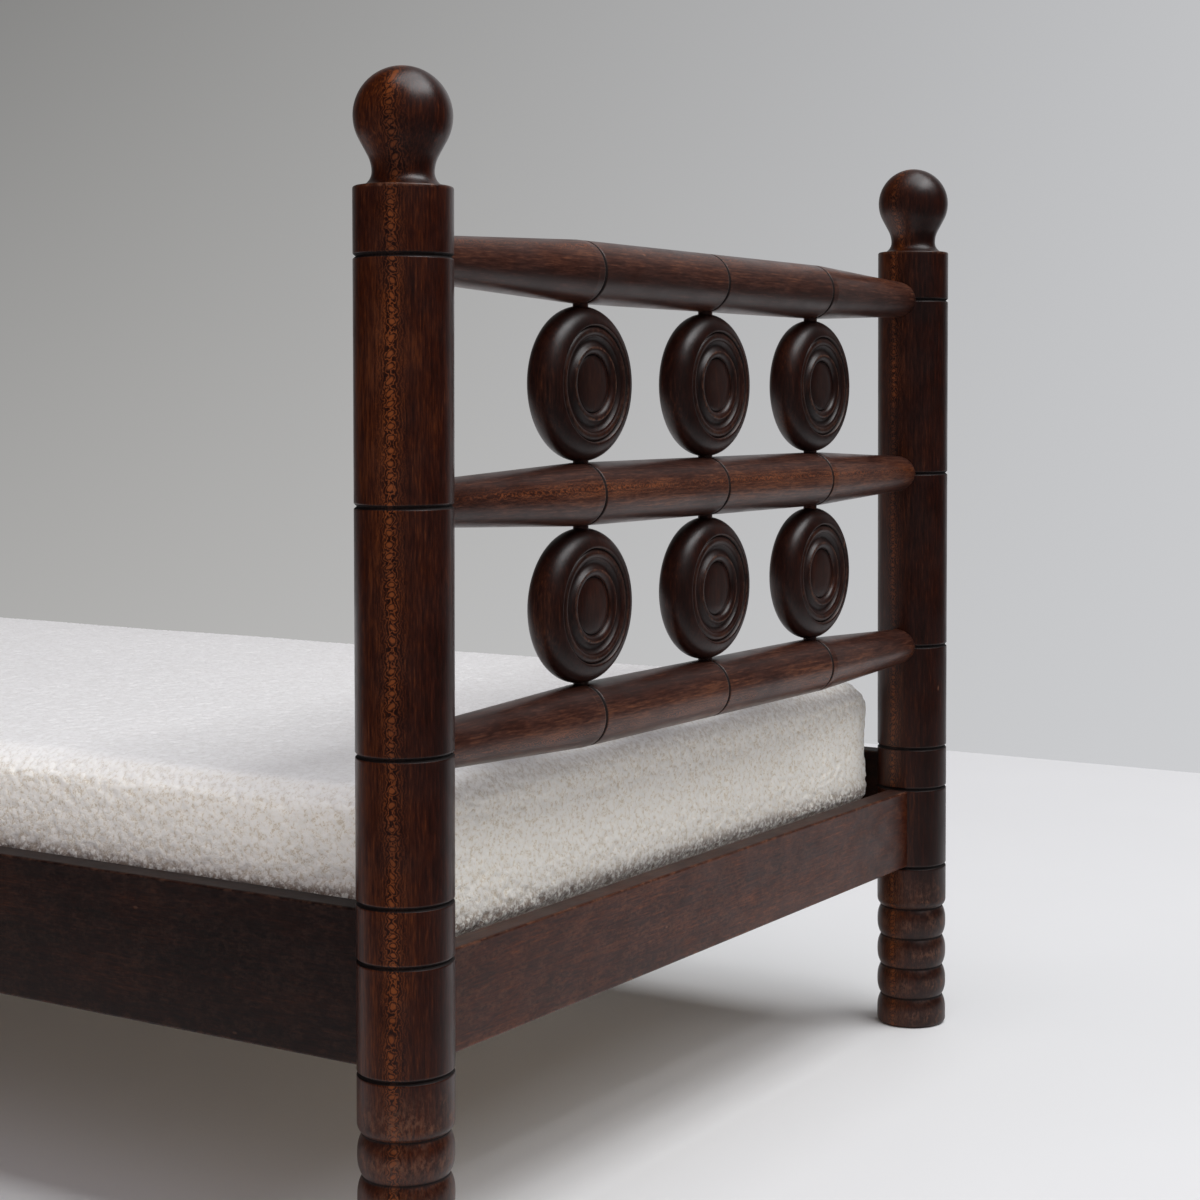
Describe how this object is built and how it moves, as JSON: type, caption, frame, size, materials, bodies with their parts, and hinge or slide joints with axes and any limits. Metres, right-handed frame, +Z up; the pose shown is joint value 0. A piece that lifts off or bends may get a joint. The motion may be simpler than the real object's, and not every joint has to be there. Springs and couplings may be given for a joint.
{
  "type": "turned wooden bed",
  "caption": "Single bed with turned posts and ball finials, spindle ends that hold ringed discs, plain side rails, a slat base and a loose mattress.",
  "frame": {"origin": "on the floor, midway between the four posts", "axes": "+Z up, +Y along the bed from its head end (the pictured end) to its foot end, +X across the bed"},
  "size_m": [1.0164, 2.0428, 0.9862],
  "materials": {
    "stained_wood": "dark stained and waxed, semi-matt",
    "pine": "planed, unfinished",
    "steel": "zinc plated",
    "boucle": "cream looped wool-like cloth",
    "webbing": "plain woven tape"
  },
  "bodies": {
    "bed_frame": {"head_left_post": "stained_wood", "head_right_post": "stained_wood", "foot_left_post": "stained_wood", "foot_right_post": "stained_wood", "head_bottom_spindle": "stained_wood", "head_middle_spindle": "stained_wood", "head_top_spindle": "stained_wood", "foot_bottom_spindle": "stained_wood", "foot_middle_spindle": "stained_wood", "foot_top_spindle": "stained_wood", "head_upper_left_disc": "stained_wood", "head_upper_centre_disc": "stained_wood", "head_upper_right_disc": "stained_wood", "head_lower_left_disc": "stained_wood", "head_lower_centre_disc": "stained_wood", "head_lower_right_disc": "stained_wood", "foot_upper_left_disc": "stained_wood", "foot_upper_centre_disc": "stained_wood", "foot_upper_right_disc": "stained_wood", "foot_lower_left_disc": "stained_wood", "foot_lower_centre_disc": "stained_wood", "foot_lower_right_disc": "stained_wood", "head_disc_pegs": "stained_wood", "foot_disc_pegs": "stained_wood", "head_end_board": "stained_wood", "foot_end_board": "stained_wood", "left_side_rail": "stained_wood", "right_side_rail": "stained_wood", "left_ledger": "pine", "right_ledger": "pine", "head_left_hook_plate": "steel", "head_right_hook_plate": "steel", "foot_left_hook_plate": "steel", "foot_right_hook_plate": "steel", "head_left_catch_plate": "steel", "head_right_catch_plate": "steel", "foot_left_catch_plate": "steel", "foot_right_catch_plate": "steel", "hook_plate_screws": "steel", "catch_plate_screws": "steel", "ledger_screws": "steel"},
    "slat_base": {"slat_1": "pine", "slat_2": "pine", "slat_3": "pine", "slat_4": "pine", "slat_5": "pine", "slat_6": "pine", "slat_7": "pine", "slat_8": "pine", "slat_9": "pine", "slat_10": "pine", "slat_11": "pine", "slat_12": "pine", "slat_13": "pine", "slat_14": "pine", "left_slat_tape": "webbing", "right_slat_tape": "webbing", "slat_tape_tacks": "steel"},
    "mattress": {"mattress": "boucle"}
  },
  "joints": [
    {"name": "slat_base_lift", "type": "slide", "parent": "bed_frame", "child": "slat_base", "axis": [0, 0, 1], "range_m": [0, 0.25]},
    {"name": "mattress_lift", "type": "slide", "parent": "slat_base", "child": "mattress", "axis": [0, 0, 1], "range_m": [0, 0.35]}
  ]
}
